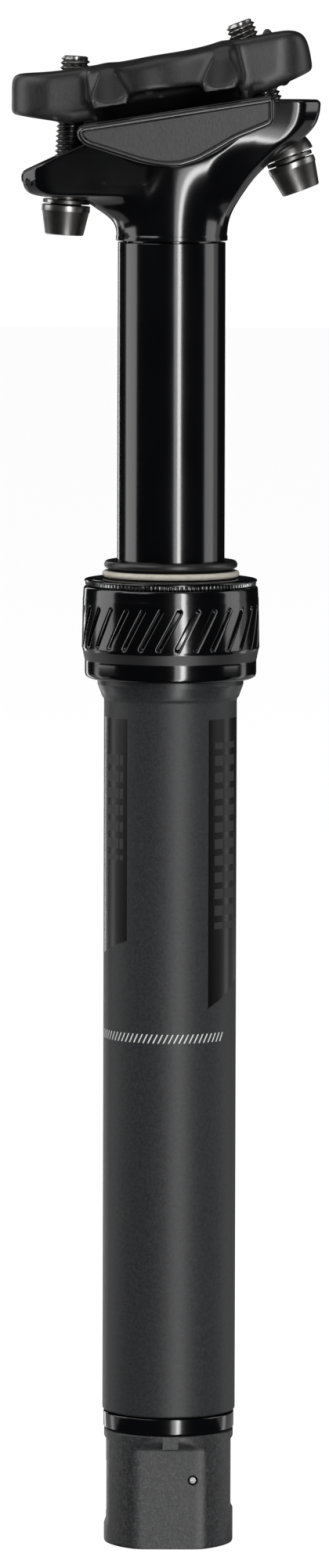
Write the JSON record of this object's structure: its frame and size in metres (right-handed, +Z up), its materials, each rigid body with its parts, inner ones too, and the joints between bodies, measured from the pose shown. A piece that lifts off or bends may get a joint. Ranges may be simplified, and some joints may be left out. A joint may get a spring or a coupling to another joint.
{
  "type": "dropper seatpost",
  "caption": "Telescopic bicycle seatpost: outer tube, sliding stanchion with wiper collar, forged head with a tilting rail clamp on a bolt at each end, cable actuator at the foot.",
  "frame": {"origin": "centre of the flat bottom face of the actuator housing, on the tubes' axis", "axes": "+Z up along the tubes towards the saddle, -X towards the front of the bicycle, rails run along X and rise towards +X"},
  "size_m": [0.0629, 0.054, 0.3124],
  "materials": {
    "tube_satin": "satin anodised, fine shot-blasted grain",
    "gloss_black": "polished black anodised",
    "forged_black": "satin black anodised forging",
    "bare_alloy": "machined",
    "dark_steel": "black-oxide, oiled",
    "bright_steel": "ground",
    "key_brass": "machined",
    "bush_polymer": "self-lubricating polymer",
    "housing_plastic": "glass-filled, fine texture",
    "seal_rubber": "smooth nitrile",
    "cream_ring": "smooth cream polymer"
  },
  "bodies": {
    "outer_post": {"outer_tube": "tube_satin", "upper_bushing": "bush_polymer", "collar": "gloss_black", "collar_cap": "gloss_black", "wiper_seal": "seal_rubber", "wiper_tension_ring": "cream_ring", "cartridge_shaft": "bright_steel", "cartridge_piston": "bare_alloy", "tube_end_cap": "gloss_black", "bottom_bumper": "seal_rubber", "shaft_nut": "dark_steel", "actuator_housing": "housing_plastic", "lever_pivot_pin": "bright_steel"},
    "saddle_post": {"stanchion": "gloss_black", "post_head": "gloss_black", "lower_bushing": "bush_polymer", "anti_rotation_key_1": "key_brass", "anti_rotation_key_2": "key_brass", "anti_rotation_key_3": "key_brass", "cartridge_cylinder": "bare_alloy", "cartridge_seal_head": "bare_alloy", "cartridge_retaining_ring": "dark_steel"},
    "floating_piston": {"floating_piston": "bare_alloy"},
    "clamp": {"lower_clamp": "forged_black", "upper_clamp": "forged_black"},
    "front_bolt": {"front_bolt": "dark_steel", "front_bolt_washer": "dark_steel", "front_bolt_domed_washer": "dark_steel"},
    "rear_bolt": {"rear_bolt": "dark_steel", "rear_bolt_washer": "dark_steel", "rear_bolt_domed_washer": "dark_steel"},
    "front_nut": {"front_nut": "bright_steel"},
    "rear_nut": {"rear_nut": "bright_steel"},
    "actuator_lever": {"actuator_lever": "bare_alloy"},
    "valve_pin": {"valve_pin": "bright_steel"}
  },
  "joints": [
    {"name": "seat_drop", "type": "slide", "parent": "outer_post", "child": "saddle_post", "axis": [0, 0, 1], "range_m": [-0.06, 0], "stiffness_N_per_m": 1333, "springref_m": 0.09},
    {"name": "floating_piston_slide", "type": "slide", "parent": "saddle_post", "child": "floating_piston", "axis": [0, 0, 1], "range_m": [0, 0.0145]},
    {"name": "clamp_tilt", "type": "hinge", "parent": "saddle_post", "child": "clamp", "pos_m": [-0.0012, 0, 0.3029], "axis": [0, 1, 0], "range_deg": [-6, 3.5]},
    {"name": "front_bolt_swing", "type": "hinge", "parent": "saddle_post", "child": "front_bolt", "pos_m": [-0.02153, 0, 0.27559], "axis": [0, 1, 0], "range_deg": [-1.38, 2.33]},
    {"name": "rear_bolt_swing", "type": "hinge", "parent": "saddle_post", "child": "rear_bolt", "pos_m": [0.02376, 0, 0.28432], "axis": [0, 1, 0], "range_deg": [-1.1, 1.85]},
    {"name": "front_nut_turn", "type": "hinge", "parent": "clamp", "child": "front_nut", "pos_m": [-0.02022, 0, 0.29644], "axis": [0, 1, 0], "range_deg": [-4.88, 8.33]},
    {"name": "rear_nut_turn", "type": "hinge", "parent": "clamp", "child": "rear_nut", "pos_m": [0.01676, 0, 0.30295], "axis": [0, 1, 0], "range_deg": [-4.6, 7.85]},
    {"name": "lever_swing", "type": "hinge", "parent": "outer_post", "child": "actuator_lever", "pos_m": [0.005, 0, 0.0142], "axis": [0, 1, 0], "range_deg": [0, 14]},
    {"name": "valve_pin_slide", "type": "slide", "parent": "outer_post", "child": "valve_pin", "axis": [0, 0, 1], "range_m": [0, 0.00122], "stiffness_N_per_m": 3000, "springref_m": -0.005}
  ],
  "couplings": [
    {"joint": "floating_piston_slide", "follows": "seat_drop", "ratio": -0.238},
    {"joint": "front_bolt_swing", "follows": "clamp_tilt", "ratio": -0.38},
    {"joint": "rear_bolt_swing", "follows": "clamp_tilt", "ratio": -0.3},
    {"joint": "front_nut_turn", "follows": "clamp_tilt", "ratio": -1.38},
    {"joint": "rear_nut_turn", "follows": "clamp_tilt", "ratio": -1.3},
    {"joint": "lever_swing", "follows": "valve_pin_slide", "rad_per_m": 200}
  ]
}
